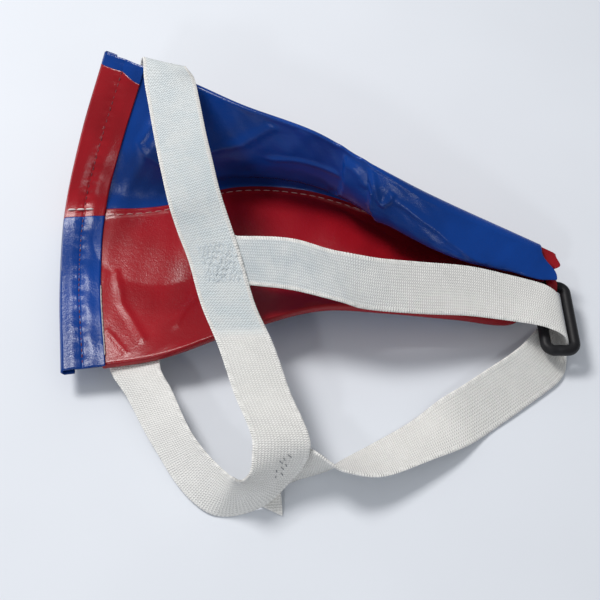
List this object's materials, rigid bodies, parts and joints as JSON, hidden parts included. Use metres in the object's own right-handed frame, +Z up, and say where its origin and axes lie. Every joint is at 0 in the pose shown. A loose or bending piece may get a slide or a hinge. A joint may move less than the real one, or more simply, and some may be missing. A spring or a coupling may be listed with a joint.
{
  "type": "padded groin guard",
  "caption": "Soft padded groin guard with a hard cup inside, an elastic waistband, a leg strap and a swinging tip ring.",
  "frame": {"origin": "middle of the footprint of the guard as it lies on the outside of its near half, on the surface under it", "axes": "+X along the pouch from the waist to the tip ring, +Y from the near leg edge to the far one, +Z up from the surface"},
  "size_m": [0.2696, 0.2364, 0.0761],
  "materials": {
    "red_hide": "soft satin artificial leather",
    "blue_hide": "soft satin artificial leather",
    "foam": "matte foam",
    "cup_plastic": "moulded",
    "elastic": "ribbed woven elastic",
    "thread": "matte sewing thread",
    "ring_plastic": "moulded, slight sheen"
  },
  "bodies": {
    "pouch": {"near_lining_red": "red_hide", "far_lining_blue": "blue_hide", "near_cover_blue": "blue_hide", "far_cover_red": "red_hide", "near_hem_blue": "blue_hide", "far_hem_red": "red_hide", "outer_pad": "foam", "inner_pad": "foam", "protective_cup": "cup_plastic", "seam_tape": "thread", "waistband": "elastic", "leg_strap_far": "elastic", "leg_strap_near": "elastic", "far_strap_tack": "thread", "near_strap_tack": "thread", "tip_tab": "red_hide"},
    "ring": {"tip_ring": "ring_plastic", "leg_strap_bight": "elastic"}
  },
  "joints": [
    {"name": "ring_swing", "type": "hinge", "parent": "pouch", "child": "ring", "pos_m": [0.12484, 0.00132, 0.013], "axis": [1, 0, 0], "range_deg": [-30, 0]}
  ]
}
